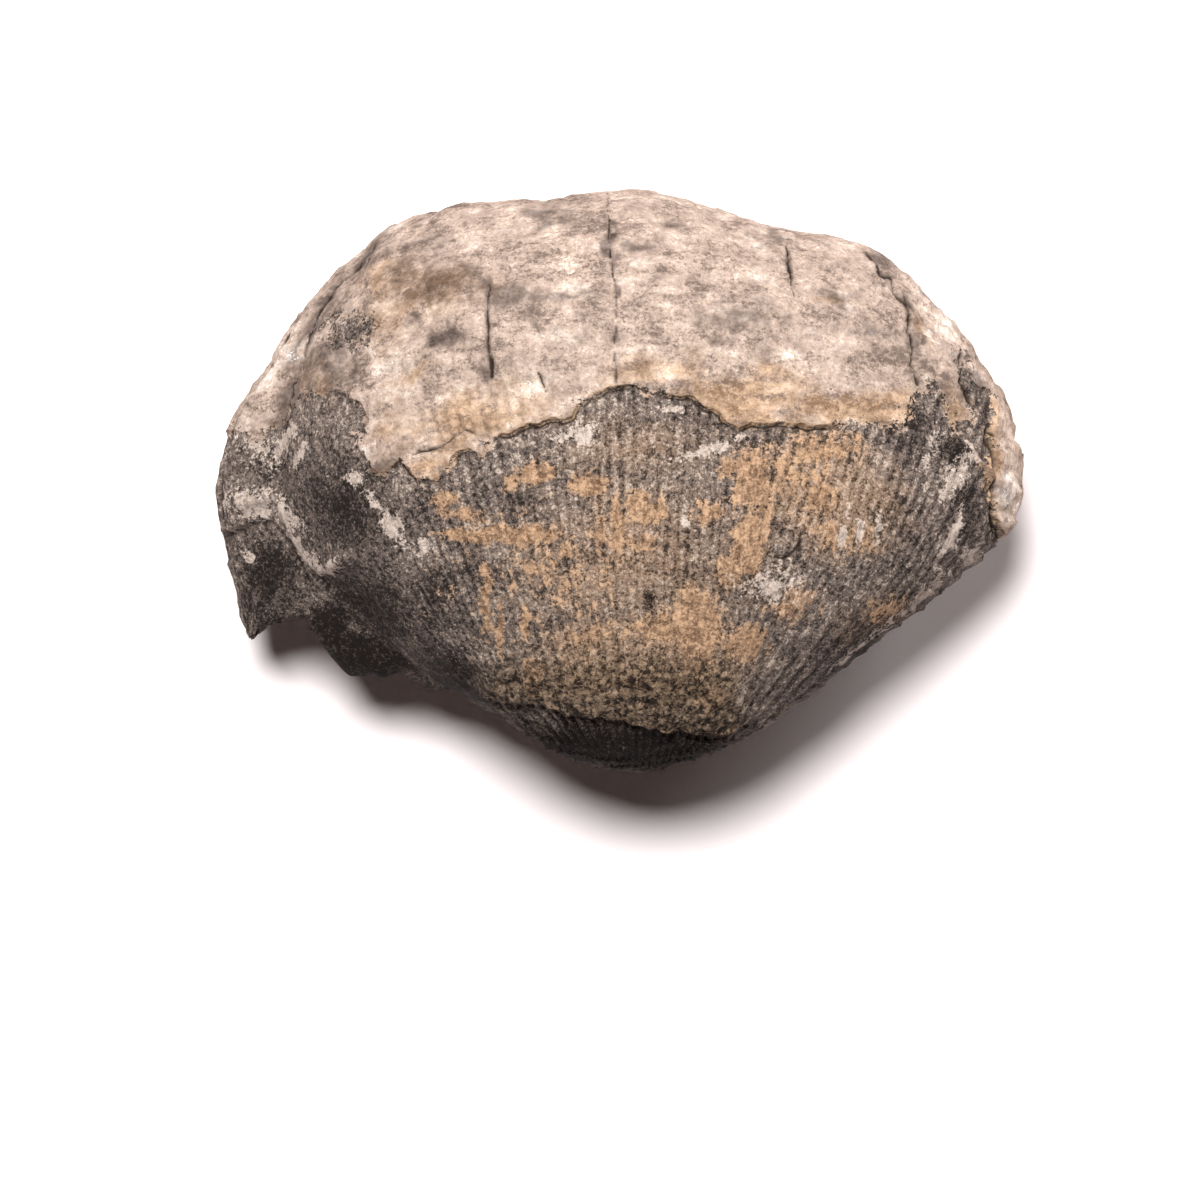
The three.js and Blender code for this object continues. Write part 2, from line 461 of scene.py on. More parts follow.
@dataclass
class Cracks:
    """Cracks in the pale layer, the groove between the valves, and the plates' crevices."""

    cracks: tuple[Crack, ...] = (
        Crack(Line(((-0.26, 11.2), (-0.23, 8.7), (-0.04, 7.5), (0.04, 6.9))), 0.026, 0.09, 0.12, 1.3),
        Crack(Line(((0.04, 6.9), (-0.08, 4.9), (0.04, 3.6))), 0.004, 0.06, 0.09, 1.2),
        Crack(Line(((-4.72, 7.9), (-4.78, 6.0), (-4.7, 4.6))), 0.018, 0.09, 0.16, 2.0),
        Crack(Line(((-4.66, 4.6), (-4.62, 3.9))), 0.07, 0.14, 0.2, 0.5),
        Crack(Line(((6.3, 9.6), (6.4, 8.6), (6.6, 7.65), (6.68, 6.85))), 0.035, 0.12, 0.2, 1.3),
        Crack(Line((
            (9.4, 8.6), (9.8, 8.15), (9.95, 7.8), (10.4, 7.65), (10.45, 7.1), (10.9, 6.75),
            (11.05, 6.3), (10.98, 5.6), (11.2, 4.9), (11.12, 4.4), (11.4, 3.7),
        )), 0.045, 0.16, 0.32, 1.3),
        Crack(Line(((10.75, 7.1), (11.3, 6.2), (11.5, 5.2))), 0.0, 0.08, 0.18, 1.8),
        Crack(Line((
            (-8.2, 0.75), (-7.4, 1.15), (-6.5, 1.32), (-6.2, 1.6), (-5.7, 1.95), (-4.75, 1.65),
        )), 0.03, 0.16, 0.07),
        Crack(Line((
            (13.6, 3.4), (13.9, 2.0), (14.05, 1.3), (14.12, 0.0), (14.05, -1.2), (14.25, -1.95),
        )), 0.06, 0.26, 0.22, 0.9),
        Crack(Line((
            (-9.0, 8.75), (-9.3, 8.4), (-10.0, 7.9), (-10.6, 7.3), (-10.85, 6.8),
            (-11.3, 6.2), (-11.35, 5.6), (-11.75, 4.9), (-11.8, 4.2), (-12.15, 3.6),
            (-12.2, 3.0), (-12.4, 1.9),
        )), 0.055, 0.12, 0.85, 1.1),
        Crack(Line(((-2.95, 4.25), (-2.6, 3.35))), 0.03, 0.1, 0.06),
        Crack(Line(((5.7, -2.8), (6.4, -2.86), (6.95, -2.4), (7.0, -1.9))), 0.035, 0.12, 0.08),
        Crack(Line(((13.0, 4.9), (12.95, 3.8), (13.3, 3.2), (14.1, 1.7))), 0.05, 0.14, 0.2),
    )

    def near(self, surface: Surface) -> tuple[Array, Array, Array]:
        """What the cracks do to the surface.

        Args:
            surface: the stone's surface.

        Returns:
            The gap to the nearest crack's wall (below 0 inside the crack), how dark the
            staining beside a crack is, and how far the surface drops.
        """
        places = surface.wavy(0.5, 0.09)
        pinching = surface.rough(0.8, 5.0, octaves=1)
        clear = 3.0 * (1.0 - surface.above)
        stretch = 1.0 / np.sqrt(np.clip(surface.facing, 0.15, 1.0))
        reached = smoothstep(0.12, 0.5, surface.facing)
        gap = np.full(len(places), 3.0)
        smudge = np.zeros(len(places))
        drop = np.zeros(len(places))
        for crack in self.cracks:
            distance = stretch * crack.line.nearest(places)[0] + clear
            pinch = np.clip(0.85 + crack.unevenness * pinching, 0.0, 1.7)
            wall = distance - crack.half_width * pinch
            gap = np.minimum(gap, wall)
            smudge = np.maximum(smudge, pinch * (1.0 - distance / crack.halo))
            drop = np.maximum(drop, reached * crack.depth * smoothstep(0.05, -0.02, wall))
        return gap, smudge, drop


@dataclass
class Crust:
    """The brown crust above the beak, which ends in a ledge over the dark umbo.

    Args:
        thickness: how far it stands out.
        knobs: how far its lumps stand out more.
        top: where it fades out, away from the beak.
    """

    thickness: float = 0.45
    knobs: float = 0.17
    top: float = -6.4
    edge: Line = Line((
        (-6.5, -7.4), (-4.7, -8.15), (-3.2, -8.1), (-2.0, -8.45), (-1.1, -8.7), (0.15, -8.8),
        (1.4, -9.1), (3.4, -9.25), (4.6, -9.1), (6.5, -8.0),
    ))
    half_width: float = 4.9

    def cover(self, surface: Surface) -> Array:
        """1 on the crust, 0 off it, with a sharp edge only towards the beak."""
        fray = 0.12 * surface.rough(0.6)
        over = smoothstep(-0.06, 0.12, self.edge.signed(surface.places) + fray)
        fading = smoothstep(self.top + 0.9, self.top - 1.0, surface.along + 4.0 * fray)
        across = np.abs(surface.across)
        sides = smoothstep(self.half_width + 0.8, self.half_width - 1.0, across)
        return over * fading * sides * surface.above

    def height(self, surface: Surface, cover: Array) -> Array:
        """How far the crust stands out."""
        lumps = 1.0 - 2.0 * np.abs(surface.rough(1.3, 3.0))
        lumps += 0.8 * surface.rough(0.45, octaves=1)
        return cover * (self.thickness + self.knobs * (lumps - 0.6))


@dataclass(frozen=True)
class Pull:
    """A part of the surface drawn out of its place.

    Args:
        centre: the middle of the part.
        reach: how far from it the pull is felt.
        move: how far the middle moves.
    """

    centre: Place
    reach: float
    move: Place

    def at(self, points: Array) -> Array:
        """How far each point moves."""
        share = bell(np.linalg.norm(points - self.centre, axis=1), self.reach)
        return share[:, None] * np.array(self.move)


@dataclass
class Flank:
    """The left flange under its pale ridge, and the broken margin beside the beak."""

    ridge: Line = Line((
        (-14.0, -0.8), (-13.4, -0.55), (-12.6, -0.5), (-12.2, -1.3),
        (-11.8, -2.1), (-11.35, -2.8), (-10.85, -3.15), (-10.3, -2.85),
    ))
    ridge_height: float = 0.38
    ridge_width: float = 0.34
    facet: Line = Line((
        (-15.6, -1.9), (-14.5, -1.8), (-13.7, -1.4), (-13.0, -1.35), (-12.5, -1.9),
        (-11.9, -2.8), (-11.5, -3.5), (-11.5, -6.5),
    ))
    facet_drop: float = 0.35
    margin: Line = Line((
        (-11.5, -3.3), (-10.7, -4.1), (-9.8, -4.8), (-8.4, -5.85), (-7.1, -6.8), (-6.0, -7.6),
        (-4.7, -8.7),
    ))
    margin_height: float = 0.12
    seam_heights: Place = (5.8, 5.35, 6.15)  # at the sides, in front and at the beak
    seam_depth: float = 0.22
    seam_width: float = 0.2
    seam_wander: float = 0.22
    half_length: float = 10.8
    pulls: tuple[Pull, ...] = (
        Pull((-13.7, -5.6, 5.8), 1.15, (-0.2, -1.05, 0.0)),
        Pull((-12.7, -5.2, 6.4), 0.8, (0.0, -0.25, 0.0)),
        Pull((-12.0, -4.8, 6.8), 1.0, (0.0, -0.5, 0.0)),
        Pull((-9.9, -6.4, 6.6), 1.5, (-0.1, -0.85, -0.5)),
        Pull((-7.6, -7.2, 6.4), 1.4, (0.0, -0.5, -0.4)),
    )

    def height(self, surface: Surface) -> Array:
        """How far the ridge rises and the flange's facet lies lower."""
        rise = bell(self.ridge.nearest(surface.places)[0], self.ridge_width)
        distance, side = self.facet.nearest(surface.places)
        lower = smoothstep(0.0, 0.14, -side * distance)
        lower *= smoothstep(-9.5, -11.0, surface.across)
        lip = bell(self.margin.nearest(surface.places)[0], 0.16)
        height = self.ridge_height * rise + self.margin_height * lip
        return surface.above * (height - self.facet_drop * lower)

    def seam(self, surface: Surface) -> Array:
        """1 in the seam where the valves meet on the steep sides, 0 away from it."""
        side, front, beak = self.seam_heights
        forward = surface.y / self.half_length
        rim = side + (front - side) * np.maximum(forward, 0.0) ** 2
        rim += (beak - side) * np.maximum(-forward, 0.0) ** 2
        rim += self.seam_wander * surface.rough(1.5)
        steep = smoothstep(0.75, 0.45, np.abs(surface.facing))
        return steep * bell(surface.z - rim, self.seam_width)

    def pulled(self, points: Array) -> Array:
        """The points after the margin's parts are drawn out."""
        return points + sum(pull.at(points) for pull in self.pulls)


@dataclass
class Marks:
    """Patches of colour, by where they lie."""

    earth: tuple[Patch, ...] = patches(
        (-3.0, 0.3, 1.0, 0.5, 1.2, 8.0), (-3.9, -0.1, 0.5, 0.4, 1.0, 40.0),
        (-0.6, -1.9, 0.3, 0.9, 0.7), (0.9, -2.2, 0.9, 0.4, 0.6), (-2.0, -3.8, 2.2, 1.7, 0.22),
        (5.6, -1.0, 0.4, 1.4, 0.8), (4.3, -3.4, 0.8, 0.8, 0.9, 30.0), (6.4, 0.3, 1.8, 1.4, 0.35),
        (-0.8, -5.7, 2.0, 0.5, 0.5, 6.0), (-1.1, -0.1, 1.1, 0.6, 1.2, -8.0),
        (0.05, -1.7, 0.34, 1.4, 1.3), (1.1, -0.95, 0.95, 0.75, 1.3), (-4.3, -2.0, 2.9, 0.42, 1.6),
        (-6.4, -0.7, 0.55, 0.5), (-5.6, -1.2, 1.2, 0.35, 0.6, -8.0), (3.5, -1.1, 0.7, 0.5),
        (4.2, 0.6, 0.5, 0.5), (5.1, 0.1, 0.9, 1.5, 1.3), (5.05, -2.4, 0.75, 1.5, 1.5),
        (7.6, -0.6, 0.9, 0.6, 1.0, -35.0), (7.9, 1.3, 1.8, 0.7, 0.7), (8.6, -2.1, 1.5, 0.8, 0.7),
        (3.0, -5.4, 1.1, 1.7, 1.6), (1.8, -5.4, 1.2, 0.75), (4.9, -6.0, 1.1, 0.8),
        (-4.9, -4.4, 0.3, 1.7), (-4.3, -5.4, 0.25, 1.2), (-3.0, -7.0, 0.45, 0.8),
        (-3.4, -5.4, 0.3, 0.6), (-3.1, -3.3, 0.5, 0.6, 0.6), (-1.9, -2.5, 0.3, 0.4, 0.7),
        (3.6, -7.8, 0.6, 0.6, 0.8, -30.0), (-1.6, -5.2, 1.3, 1.2, 0.2),
        (6.6, -4.6, 1.3, 0.7, 0.6, 20.0), (10.3, -4.8, 0.9, 0.5, 0.5, 30.0),
    )
    # pale chips on bare stone, and paler places on the pale layer that are partly painted highlights
    chips_and_highlights: tuple[Patch, ...] = patches(
        (5.9, -4.2, 0.5, 0.5), (5.8, -3.9, 1.6, 0.8, 0.5), (3.3, 1.2, 1.8, 0.24, 0.9, 17.0),
        (-1.2, 1.75, 0.6, 0.7, 0.8), (-2.1, 1.6, 0.5, 0.4, 0.6), (1.9, 2.8, 0.65, 0.3, 1.0, -10.0),
        (2.6, -1.45, 0.3, 0.22), (-8.4, -1.75, 0.4, 0.75, 1.0, 38.0),
        (-7.3, -2.35, 0.5, 0.5, 1.0, 30.0), (-9.0, -0.8, 0.8, 0.3, 0.9, -42.0),
        (-9.8, 0.1, 0.4, 0.4, 0.8), (-12.45, 1.5, 0.25, 1.0, 1.0, -28.0),
        (-11.9, 1.1, 0.22, 0.9, 1.0, -20.0), (-13.7, -0.75, 1.5, 0.75, 0.9, -6.0),
        (-12.3, -1.2, 0.45, 0.9, 1.0, 30.0), (-11.6, -2.5, 0.35, 1.2, 1.0, 36.0),
        (-10.6, -3.05, 0.7, 0.32, 0.9, 20.0), (-14.05, -2.9, 0.2, 0.45, 0.5, 10.0),
        (-12.9, -5.2, 0.9, 0.22, 0.7, 18.0), (8.6, -1.9, 0.22, 1.1, 0.9, -8.0),
        (9.2, -1.8, 0.2, 0.9, 0.8, -10.0), (9.9, -1.7, 0.25, 0.8, 0.7, -10.0),
        (12.6, -2.0, 0.28, 1.7, 0.9, -22.0), (12.9, 0.3, 0.5, 1.4, 0.8, -25.0),
        (11.9, 1.1, 0.4, 1.0, 0.5, -20.0), (11.6, -4.3, 0.35, 1.6, 0.9, -45.0),
        (9.4, -6.1, 0.25, 2.2, 0.7, -50.0), (13.4, -2.8, 0.6, 0.6, 0.9, -40.0),
        (4.7, -7.7, 0.25, 0.7, 0.8, 5.0), (-13.2, 1.4, 1.2, 0.8, 0.35, -30.0),
        (1.95, 4.0, 0.7, 0.5, 0.8), (-3.3, 3.4, 1.8, 0.5, 0.5, 15.0), (6.6, 4.6, 0.9, 0.35, 0.6),
        (-9.1, 4.4, 0.5, 0.9, 0.8), (-7.8, 4.6, 1.2, 0.6, 0.4), (-12.9, 4.2, 0.8, 3.0, 0.7, -20.0),
        (12.2, 6.4, 0.9, 2.6, 0.8, 30.0), (14.7, 0.2, 0.8, 3.0, 0.7, 3.0),
        (-1.6, 8.2, 0.9, 0.8, 0.5, 30.0),
    )
    # dark patches: partly dark stone, partly painted shade over the umbo and under the upper valve's
    # margin at the lower left
    darkness_and_shade: tuple[Patch, ...] = patches(
        (1.35, -4.5, 0.5, 0.45, 1.6), (-10.2, -1.0, 2.6, 3.4, 1.1, 30.0),
        (-9.2, -4.6, 3.6, 1.8, 1.2, -40.0), (-6.9, -4.4, 1.6, 1.8), (-7.3, -0.9, 0.9, 0.9, 0.8),
        (-3.9, -0.9, 1.3, 0.6, 0.6), (-5.6, -3.4, 2.0, 0.8, 0.6), (-13.2, -3.7, 2.3, 2.6, 1.3),
        (-12.6, 0.6, 1.6, 0.9, 0.8), (12.7, 1.2, 1.4, 0.9, 1.1, -40.0), (13.1, -0.9, 1.1, 2.0, 0.9),
        (9.4, -6.2, 4.2, 1.6, 1.0, 38.0), (7.0, -3.0, 0.6, 0.7, 0.5, -10.0),
        (-6.0, -7.4, 3.4, 1.4, 1.3, -40.0), (11.2, 2.0, 1.3, 1.8, 0.9),
        (10.6, -1.5, 1.0, 2.4, 0.5, 10.0), (1.0, 1.8, 2.2, 1.0, 0.15), (0.0, -10.0, 9.0, 1.7, 1.7),
        (-9.4, -6.5, 2.6, 1.3, 2.6, -25.0), (-10.9, -5.4, 1.3, 1.6, 2.4, -30.0),
        (-7.4, -7.8, 2.0, 0.9, 2.4, -25.0), (-3.4, -0.7, 1.5, 0.35, 0.8), (2.2, -1.7, 1.2, 0.5, 0.6),
        (6.2, -1.8, 0.6, 0.8, 0.6), (-1.2, -2.9, 3.0, 0.35, 0.6), (2.2, -3.3, 1.6, 0.5, 0.6),
        (1.3, -7.2, 4.5, 1.2, 0.6),
    )
    stains: tuple[Patch, ...] = patches(
        (-1.5, 6.87, 1.5, 0.12, 0.7, 1.0), (-3.8, 6.7, 1.3, 0.8), (-2.9, 6.0, 0.35, 0.6),
        (-2.2, 9.9, 1.2, 0.4, 0.9), (1.9, 9.5, 1.4, 0.4, 0.8), (0.9, 8.65, 1.2, 0.4, 0.8),
        (4.9, 6.1, 3.0, 1.3, 0.5), (4.6, 5.8, 0.4, 0.3, 0.8), (-4.75, 7.3, 0.4, 0.8, 1.2),
        (-0.3, 9.2, 0.32, 0.7, 1.5), (0.0, 7.3, 0.32, 0.5, 1.5), (-4.62, 4.2, 0.3, 0.5, 1.5),
        (-7.4, 8.9, 1.3, 0.4, 1.0, 8.0), (-6.9, 7.4, 2.9, 1.1, 0.9, 2.0),
        (-9.6, 8.3, 1.6, 0.6, 0.8, 40.0), (-5.6, 7.9, 1.2, 0.3, 0.9), (-7.5, 6.15, 0.4, 0.5, 1.4),
        (-6.1, 5.35, 0.9, 0.5, 2.0, 20.0), (-6.6, 5.0, 0.4, 0.4, 1.6),
        (9.9, 8.2, 0.9, 0.4, 1.1, -40.0), (6.0, 9.2, 1.2, 0.3, 1.0, -14.0),
        (9.9, 5.6, 1.8, 0.6, 0.55), (11.3, 5.4, 0.5, 1.2, 0.9), (8.3, 7.0, 1.0, 0.5, 0.6),
        (-10.8, 4.2, 1.2, 2.0, 0.8, -10.0), (13.3, 3.4, 0.7, 1.4, 0.9, 30.0),
        (-9.6, 4.2, 0.35, 0.9, 1.2), (14.5, -0.4, 0.5, 1.6, 0.5),
    )
    tans: tuple[Patch, ...] = patches(
        (-6.7, 7.3, 3.0, 1.2, 0.9, 3.0), (-9.0, 7.7, 1.1, 0.8, 0.7, 40.0),
        (-11.3, 3.6, 0.9, 1.0, 0.8), (-6.9, 0.6, 0.9, 0.7, 1.2), (9.0, 2.7, 3.4, 0.8, 1.7),
        (4.9, 3.2, 2.8, 1.1), (5.6, 3.9, 1.2, 0.5), (-5.6, 2.6, 3.0, 1.2, 0.8, 12.0),
        (12.6, 2.9, 0.6, 1.1, 1.2, 20.0), (2.0, 4.3, 2.0, 0.5, 0.5), (-7.6, 3.9, 1.2, 0.3, 1.0, 20.0),
        (7.7, 6.9, 1.2, 0.3, 0.8), (11.6, 5.6, 0.3, 1.2, 0.9, 30.0), (13.95, 0.0, 0.25, 1.6, 1.2),
    )
    warmth: tuple[Patch, ...] = patches(
        (0.8, -3.0, 8.5, 5.5, 0.8), (8.0, -0.5, 4.5, 3.4, 1.2, -20.0), (0.8, 1.2, 6.0, 2.4, 0.7),
        (1.0, -6.4, 6.0, 2.4, 1.4), (9.5, -5.2, 3.0, 1.6, 0.6, 30.0),
    )


@dataclass
class Fossil:
    """The whole stone: one closed mesh in place of its plain solid."""

    voxel: float = 0.255
    smoothing: int = 9
    upward: float = 0.12  # faces that look up more than this are made finer
    coarse_relief: float = 0.12
    lumpy_relief: float = 0.07
    stone_relief: float = 0.06
    layer_relief: float = 0.09
    broken_relief: float = 0.35
    lamella_height: float = 0.08
    lamella_spacing: float = 0.85
    sheet_height: float = 0.05
    sheet_count: float = 4.5
    earth_height: float = 0.08
    fluting: float = 0.08
    fluted: Patch = Patch(-4.6, 2.2, 3.6, 2.0, 1.0, 12.0)
    resting_reach: float = 0.35  # nothing stands out closer than this to the floor
    half_width: float = 15.0
    half_length: float = 10.6
    grain: Grain = Grain()
    ribs: Ribs = field(default_factory=Ribs)
    layer: ShellLayer = field(default_factory=ShellLayer)
    cracks: Cracks = field(default_factory=Cracks)
    crust: Crust = field(default_factory=Crust)
    flank: Flank = field(default_factory=Flank)
    marks: Marks = field(default_factory=Marks)

    def blank(self) -> bmesh.types.BMesh:
        """The solid's own form with its facets smoothed away, in millimetres."""
        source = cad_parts[NODE]
        form = bmesh.new()
        form.from_mesh(source.data)
        bmesh.ops.remove_doubles(form, verts=form.verts, dist=1e-7)
        bmesh.ops.scale(form, vec=(1.0 / MM,) * 3, verts=form.verts)
        merged = bpy.data.meshes.new("fossil_blank")
        form.to_mesh(merged)
        form.free()
        carrier = placed("fossil_blank", merged)
        rounding = carrier.modifiers.new("rounding", "SUBSURF")
        rounding.levels = rounding.render_levels = 1
        remesh = carrier.modifiers.new("remesh", "REMESH")
        remesh.mode = "VOXEL"
        remesh.voxel_size = self.voxel
        graph = bpy.context.evaluated_depsgraph_get()
        remeshed = carrier.evaluated_get(graph).to_mesh()
        form = bmesh.new()
        form.from_mesh(remeshed)
        bpy.data.objects.remove(carrier)
        bpy.data.meshes.remove(merged)
        for _ in range(self.smoothing):
            bmesh.ops.smooth_vert(
                form, verts=form.verts, factor=0.5, use_axis_x=True, use_axis_y=True,
                use_axis_z=True,
            )
        return form

    def surface(self, form: bmesh.types.BMesh) -> Surface:
        """The vertices of a mesh as numbers."""
        form.normal_update()
        points = np.array([vert.co for vert in form.verts])
        normals = np.array([vert.normal for vert in form.verts])
        return Surface(points, normals, self.grain)

    def divide(self, form: bmesh.types.BMesh, chosen: Array) -> None:
        """Halves the edges whose both ends are chosen.

        Args:
            form: the mesh.
            chosen: true for each vertex where it needs to be finer.
        """
        form.verts.ensure_lookup_table()
        form.verts.index_update()
        edges = [
            edge for edge in form.edges
            if chosen[edge.verts[0].index] and chosen[edge.verts[1].index]
        ]
        bmesh.ops.subdivide_edges(form, edges=edges, cuts=1, use_grid_fill=True)

    def refine(self, form: bmesh.types.BMesh) -> None:
        """Makes the mesh finer on top, and finer still along ledges and cracks."""
        surface = self.surface(form)
        self.divide(form, surface.facing > self.upward)
        surface = self.surface(form)
        near_ledge = np.abs(self.layer.depth(surface) + 0.02) < 0.13
        near_crack = self.cracks.near(surface)[0] < 0.07
        near_crust = self.crust.edge.nearest(surface.places)[0] < 0.2
        top = surface.above * (surface.facing > self.upward) > 0.5
        self.divide(form, top & (near_ledge | near_crack | near_crust))

    def lamellae(self, surface: Surface, growth: Array) -> Array:
        """Low steps along growth lines, strongest near the margins."""
        wander = 0.6 * surface.rough(3.0)
        phase = growth / self.lamella_spacing + wander
        step = (phase - np.floor(phase)) ** 2
        margin = np.hypot(surface.x / self.half_width, surface.y / self.half_length)
        right = 1.0 + 0.8 * smoothstep(9.0, 12.0, surface.x)
        return self.lamella_height * right * step * smoothstep(0.7, 0.95, margin)

    def sheets(self, surface: Surface) -> Array:
        """Steps where thin sheets of the pale layer have flaked away."""
        level = self.sheet_count * surface.rough(2.0, 29.0, (0.6, 1.3, 1.0))
        whole = np.floor(level)
        return self.sheet_height * (whole + smoothstep(0.0, 0.3, level - whole))

    def broken(self, surface: Surface) -> Array:
        """1 on the broken face at the left of the hinge, 0 elsewhere."""
        facing = smoothstep(0.45, 0.75, -0.7 * surface.normals[:, 1] - 0.7 * surface.normals[:, 0])
        inside = smoothstep(-3.2, -4.6, surface.y) * smoothstep(-3.6, -5.0, surface.x)
        return facing * inside * smoothstep(7.6, 6.8, surface.z) * smoothstep(0.2, 0.9, surface.z)

    def carve(self, form: bmesh.types.BMesh) -> dict[Field, Array]:
        """Raises and sinks every vertex for the stone's fine relief.

        Args:
            form: the mesh, which is changed.

        Returns:
            What the finish reads at each vertex.
        """
        surface = self.surface(form)
        marks = self.marks
        depth = self.layer.depth(surface)
        ledge = self.layer.ledge(surface)
        gap, smudge, drop = self.cracks.near(surface)
        cover = self.crust.cover(surface)
        number = self.ribs.number(surface)
        growth = self.ribs.growth(surface)
        shown = self.ribs.shown(surface)
        crest = 0.6 + shown * (self.ribs.crest(surface, number) - 0.6)
        broken = self.broken(surface)
        seam = self.flank.seam(surface) * (1.0 - broken)
        gap = np.minimum(gap, 0.12 - 0.16 * seam)
        covered = smoothstep(-0.02, 0.05, depth)
        bare = (1.0 - covered) * (1.0 - 0.85 * cover) * (1.0 - broken)
        worn = 0.8 + 0.7 * surface.rough(1.7, octaves=1)
        from_edges = np.minimum(np.abs(depth), self.crust.edge.nearest(surface.places)[0])
        worn *= smoothstep(-0.1, 0.4, from_edges)
        fluted = self.fluting * smoothstep(0.0, 0.5, self.fluted.at(surface.places)) * covered
        umbo = 1.0 + 1.2 * smoothstep(-6.5, -9.0, surface.y)
        ribbing = self.ribs.height * (umbo * bare + 0.3 * covered) * worn + fluted
        fine = surface.rough(0.42)
        bedded = surface.rough(0.6, scale=(0.4, 1.6, 1.0))
        raised = self.coarse_relief * surface.rough(3.4)
        raised += self.lumpy_relief * surface.rough(1.2, 60.0)
        raised += self.layer.height(depth, ledge) - drop
        raised += self.crust.height(surface, cover)
        raised += self.flank.height(surface)
        raised -= self.flank.seam_depth * seam
        raised += ribbing * (crest - 0.5)
        raised += covered * (self.layer_relief * bedded + self.sheets(surface))
        ragged = surface.wavy(0.8, 0.3)
        earth = patched(ragged, marks.earth)
        caked = smoothstep(0.0, 0.3, earth) * (1.0 - covered) * surface.above
        raised += self.earth_height * caked * (0.5 + surface.rough(0.6))
        raised += self.stone_relief * (1.0 - covered) * fine
        raised += self.lamellae(surface, growth)
        raised += self.broken_relief * broken * surface.rough(1.1, octaves=4)
        raised *= smoothstep(0.0, self.resting_reach, surface.z)
        moved = self.flank.pulled(surface.points + surface.normals * raised[:, None])
        moved[:, 2] = np.maximum(moved[:, 2], 0.0)
        for vert, place in zip(form.verts, moved):
            vert.co = place
        drifted = surface.wavy(1.9, 0.8)
        hidden = 2.0 * (1.0 - surface.above)
        steep = 1.5 * smoothstep(0.25, 0.0, surface.facing)
        shady = 0.5 * surface.rough(3.0, 12.0)
        return {
            Field.LAYER: depth,
            Field.LEDGE: ledge,
            Field.CRACK: gap,
            Field.EARTH: earth - hidden,
            Field.CHIP_AND_HIGHLIGHT: patched(ragged, marks.chips_and_highlights) - hidden - steep,
            # dark patches, partly painted shade
            Field.DARKNESS_AND_SHADE: patched(ragged, marks.darkness_and_shade) + hidden * (shady - 0.2),
            Field.STAIN: np.maximum(patched(drifted, marks.stains), smudge) - hidden,
            Field.TAN: np.maximum(patched(drifted, marks.tans), -0.3) - hidden,
            Field.WARM: np.clip(patched(ragged, marks.warmth), 0.0, 1.0),
            Field.CRUST: cover,
            Field.RIB: number,
            Field.GROWTH: growth,
            Field.CREST: crest,
        }

    def build(self) -> bpy.types.Object:
        """Makes the stone's mesh, in metres, with what its finish reads."""
        form = self.blank()
        self.refine(form)
        bmesh.ops.triangulate(form, faces=form.faces)
        fields = self.carve(form)
        bmesh.ops.scale(form, vec=(MM,) * 3, verts=form.verts)
        bmesh.ops.recalc_face_normals(form, faces=form.faces)
        mesh = bpy.data.meshes.new("fossil_surface")
        form.to_mesh(mesh)
        form.free()
        mesh.shade_smooth()
        for name, values in fields.items():
            attribute = mesh.attributes.new(name.value, "FLOAT", "POINT")
            attribute.data.foreach_set("value", values.astype(np.float32))
        fossil = placed("fossil_surface", mesh)
        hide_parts(NODE)
        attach(fossil, "root")
        return fossil


Socket = bpy.types.NodeSocket


class Shade:
    """A number or a colour on its way through shader nodes, written as plain arithmetic.

    Args:
        sketch: what lays out the nodes.
        socket: where it comes out of its node.
    """

    def __init__(self, sketch: Sketch, socket: Socket) -> None:
        """Keeps both."""
        self.sketch = sketch
        self.socket = socket

    def __add__(self, other: Value) -> Shade:
        """This and the other together."""
        return self.sketch.sum("ADD", self, other)

    def __sub__(self, other: Value) -> Shade:
        """This less the other."""
        return self.sketch.sum("SUBTRACT", self, other)

    def __mul__(self, other: Value) -> Shade:
        """This scaled by the other."""
        return self.sketch.sum("MULTIPLY", self, other)

    def rise(self, low: float, high: float) -> Shade:
        """0 below `low`, 1 above `high` and smooth between, or falling if low is above high."""
        start, end = (0.0, 1.0) if low < high else (1.0, 0.0)
        fed = dict(enumerate((self, min(low, high), max(low, high), start, end)))
        return self.sketch.shade("ShaderNodeMapRange", fed, interpolation_type="SMOOTHSTEP")


Value = Shade | float
Tint = Shade | Colour
Fed = dict[str | int, Shade | float | tuple[float, ...]]


